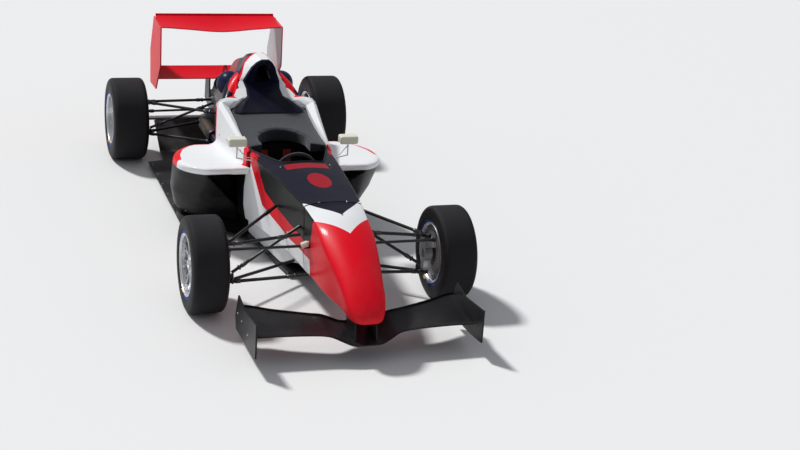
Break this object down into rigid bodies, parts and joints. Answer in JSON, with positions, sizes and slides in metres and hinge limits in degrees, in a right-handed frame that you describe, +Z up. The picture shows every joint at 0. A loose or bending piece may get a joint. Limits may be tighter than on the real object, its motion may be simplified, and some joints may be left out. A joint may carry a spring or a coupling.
{
  "type": "open wheel racing car",
  "caption": "Single-seat open wheel racing car with raised nose, front and rear wings, sidepods, open cockpit, turning wheels and coupled steering.",
  "frame": {"origin": "on the ground, in the middle of the car's length and width", "axes": "+X to the car's left, +Y rearward, +Z up; the car faces -Y"},
  "size_m": [1.666, 4.208, 0.988],
  "materials": {
    "navy_paint": "glossy clear-coated paint on composite",
    "red_paint": "glossy clear-coated paint on composite",
    "white_paint": "glossy clear-coated paint on composite",
    "cream_paint": "gloss moulding",
    "carbon": "satin carbon composite",
    "tyre_rubber": "slick tread",
    "rim_alloy": "satin cast alloy",
    "dark_steel": "black coated steel tube",
    "machined_alloy": "machined",
    "disc_iron": "machined face",
    "cast_case": "cast",
    "exhaust_steel": "heat-tinted steel",
    "headrest_foam": "covered foam",
    "seat_shell": "composite shell",
    "grip_suede": "suede",
    "lamp_red": "clear red lens"
  },
  "bodies": {
    "chassis": {"monocoque": "navy_paint", "nose_cone": "red_paint", "front_wing": "carbon", "front_wing_endplates": "carbon", "front_wing_pylons": "carbon", "floor": "carbon", "sidepod_left": "white_paint", "sidepod_right": "white_paint", "radiators": "machined_alloy", "headrest": "headrest_foam", "cockpit_shroud": "white_paint", "roll_hoop": "navy_paint", "engine": "cast_case", "engine_cover": "navy_paint", "gearbox": "cast_case", "seat": "seat_shell", "dashboard": "carbon", "mirrors": "cream_paint", "rear_wing_upper": "red_paint", "rear_wing_lower": "red_paint", "rear_wing_endplates": "red_paint", "rear_crash_box": "carbon", "rain_light": "lamp_red", "exhaust": "exhaust_steel", "front_wishbones": "dark_steel", "front_pushrods": "dark_steel", "rear_wishbones": "dark_steel", "rear_links": "dark_steel", "upright_rear_left": "machined_alloy", "upright_rear_right": "machined_alloy"},
    "wheel_front_left": {"tyre_front_left": "tyre_rubber", "rim_front_left": "rim_alloy", "brake_disc_front_left": "disc_iron"},
    "wheel_front_right": {"tyre_front_right": "tyre_rubber", "rim_front_right": "rim_alloy", "brake_disc_front_right": "disc_iron"},
    "wheel_rear_left": {"tyre_rear_left": "tyre_rubber", "rim_rear_left": "rim_alloy", "brake_disc_rear_left": "disc_iron", "drive_shaft_left": "machined_alloy"},
    "wheel_rear_right": {"tyre_rear_right": "tyre_rubber", "rim_rear_right": "rim_alloy", "brake_disc_rear_right": "disc_iron", "drive_shaft_right": "machined_alloy"},
    "knuckle_left": {"upright_front_left": "machined_alloy"},
    "knuckle_right": {"upright_front_right": "machined_alloy"},
    "rack": {"steering_rack": "dark_steel"},
    "steering_wheel": {"steering_wheel": "grip_suede"}
  },
  "joints": [
    {"name": "steer_left", "type": "hinge", "parent": "chassis", "child": "knuckle_left", "pos_m": [0.59, -1.234, 0.27], "axis": [0, 0, 1], "range_deg": [-18, 18]},
    {"name": "steer_right", "type": "hinge", "parent": "chassis", "child": "knuckle_right", "pos_m": [-0.59, -1.234, 0.27], "axis": [0, 0, 1], "range_deg": [-18.01, 18.01]},
    {"name": "rack_slide", "type": "slide", "parent": "chassis", "child": "rack", "axis": [1, 0, 0], "range_m": [-0.031, 0.031]},
    {"name": "steering_wheel_turn", "type": "hinge", "parent": "chassis", "child": "steering_wheel", "pos_m": [0, -0.464, 0.528], "axis": [0, 0.9659, 0.2588], "range_deg": [-126.1, 126.1]},
    {"name": "spin_front_left", "type": "hinge", "parent": "knuckle_left", "child": "wheel_front_left", "pos_m": [0.708, -1.234, 0.27], "axis": [1, 0, 0], "continuous": true},
    {"name": "spin_front_right", "type": "hinge", "parent": "knuckle_right", "child": "wheel_front_right", "pos_m": [-0.708, -1.234, 0.27], "axis": [1, 0, 0], "continuous": true},
    {"name": "spin_rear_left", "type": "hinge", "parent": "chassis", "child": "wheel_rear_left", "pos_m": [0.7115, 1.486, 0.285], "axis": [1, 0, 0], "continuous": true},
    {"name": "spin_rear_right", "type": "hinge", "parent": "chassis", "child": "wheel_rear_right", "pos_m": [-0.7115, 1.486, 0.285], "axis": [1, 0, 0], "continuous": true}
  ],
  "couplings": [
    {"joint": "steer_right", "follows": "steer_left", "ratio": 1},
    {"joint": "rack_slide", "follows": "steer_left", "m_per_rad": 0.098363},
    {"joint": "steering_wheel_turn", "follows": "steer_left", "ratio": 7}
  ]
}
